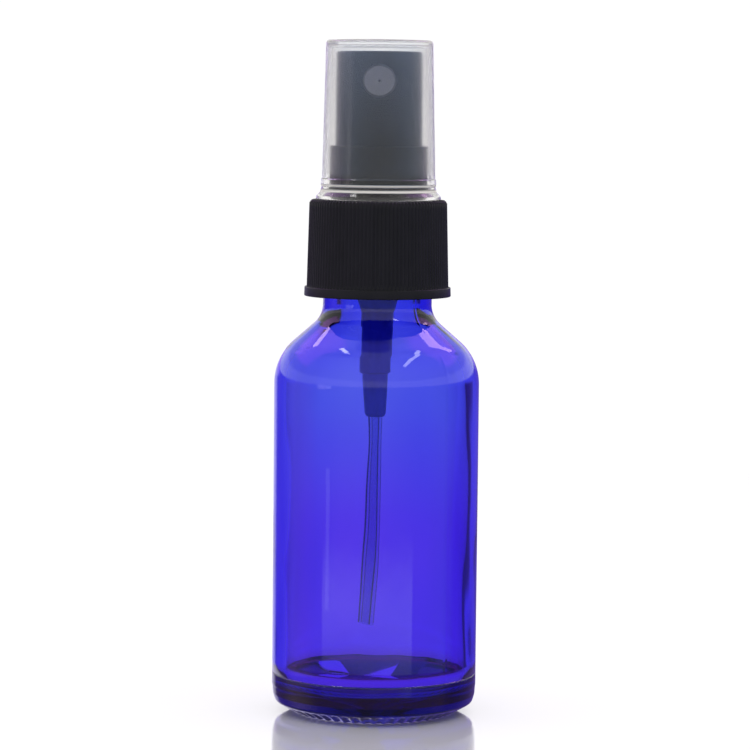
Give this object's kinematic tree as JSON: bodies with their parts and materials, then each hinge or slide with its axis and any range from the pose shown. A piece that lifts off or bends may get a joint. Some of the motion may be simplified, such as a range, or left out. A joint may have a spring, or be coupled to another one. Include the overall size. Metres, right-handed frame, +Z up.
{
  "type": "perfume atomiser",
  "caption": "Small blue glass bottle with a black screw-on finger pump that sprays a fine mist, under a clear pull-off overcap.",
  "frame": {"origin": "centre of the ring that the bottle stands on, on the table", "axes": "+Z up along the axis of the bottle and the pump; the nozzle sprays towards -Y; +X is to the right when the nozzle is looked at"},
  "size_m": [0.033, 0.033, 0.1084],
  "materials": {
    "blue_glass": "clear cobalt-blue container glass, glossy and slightly wavy",
    "black_moulding": "black moulded polypropylene, satin",
    "clear_hood": "natural polypropylene, slightly milky in the wall and clear at the foot",
    "natural_moulding": "uncoloured polypropylene, translucent white",
    "pump_moulding": "dark moulded polypropylene, satin",
    "spring_steel": "bright stainless steel",
    "gasket_foam": "white closed-cell polyethylene foam, matt",
    "tube_plastic": "uncoloured polyethylene tube, translucent"
  },
  "bodies": {
    "bottle_body": {"bottle": "blue_glass"},
    "pump_body": {"pump_housing": "pump_moulding", "lock_ring": "natural_moulding", "gasket": "gasket_foam", "dip_tube": "tube_plastic"},
    "closure_body": {"closure": "black_moulding"},
    "overcap_body": {"overcap": "clear_hood"},
    "plunger": {"stem": "natural_moulding", "valve_pin": "natural_moulding", "return_spring": "spring_steel"},
    "piston_body": {"piston": "natural_moulding"},
    "button": {"actuator": "black_moulding", "nozzle_insert": "natural_moulding"},
    "ball_body": {"check_ball": "spring_steel"}
  },
  "joints": [
    {"name": "sprayer_lift", "type": "slide", "parent": "bottle_body", "child": "pump_body", "axis": [0, 0, 1], "range_m": [0, 0.00476]},
    {"name": "closure_turn", "type": "hinge", "parent": "pump_body", "child": "closure_body", "pos_m": [0, 0, 0.075], "axis": [0, 0, 1], "range_deg": [0, 540]},
    {"name": "overcap_lift", "type": "slide", "parent": "closure_body", "child": "overcap_body", "axis": [0, 0, 1], "range_m": [0, 0.035]},
    {"name": "actuator_press", "type": "slide", "parent": "pump_body", "child": "plunger", "axis": [0, 0, -1], "range_m": [0, 0.004], "stiffness_N_per_m": 600, "springref_m": -0.0035, "deforming": ["return_spring"]},
    {"name": "actuator_turn", "type": "hinge", "parent": "plunger", "child": "button", "pos_m": [0, 0, 0.094], "axis": [0, 0, 1], "continuous": true},
    {"name": "piston_slip", "type": "slide", "parent": "plunger", "child": "piston_body", "axis": [0, 0, 1], "range_m": [0, 0.0004]},
    {"name": "ball_lift", "type": "slide", "parent": "pump_body", "child": "ball_body", "axis": [0, 0, 1], "range_m": [0, 0.0007]}
  ],
  "couplings": [
    {"joint": "closure_turn", "follows": "sprayer_lift", "rad_per_m": 1978.9},
    {"joint": "piston_slip", "follows": "actuator_press", "ratio": 0.1}
  ]
}
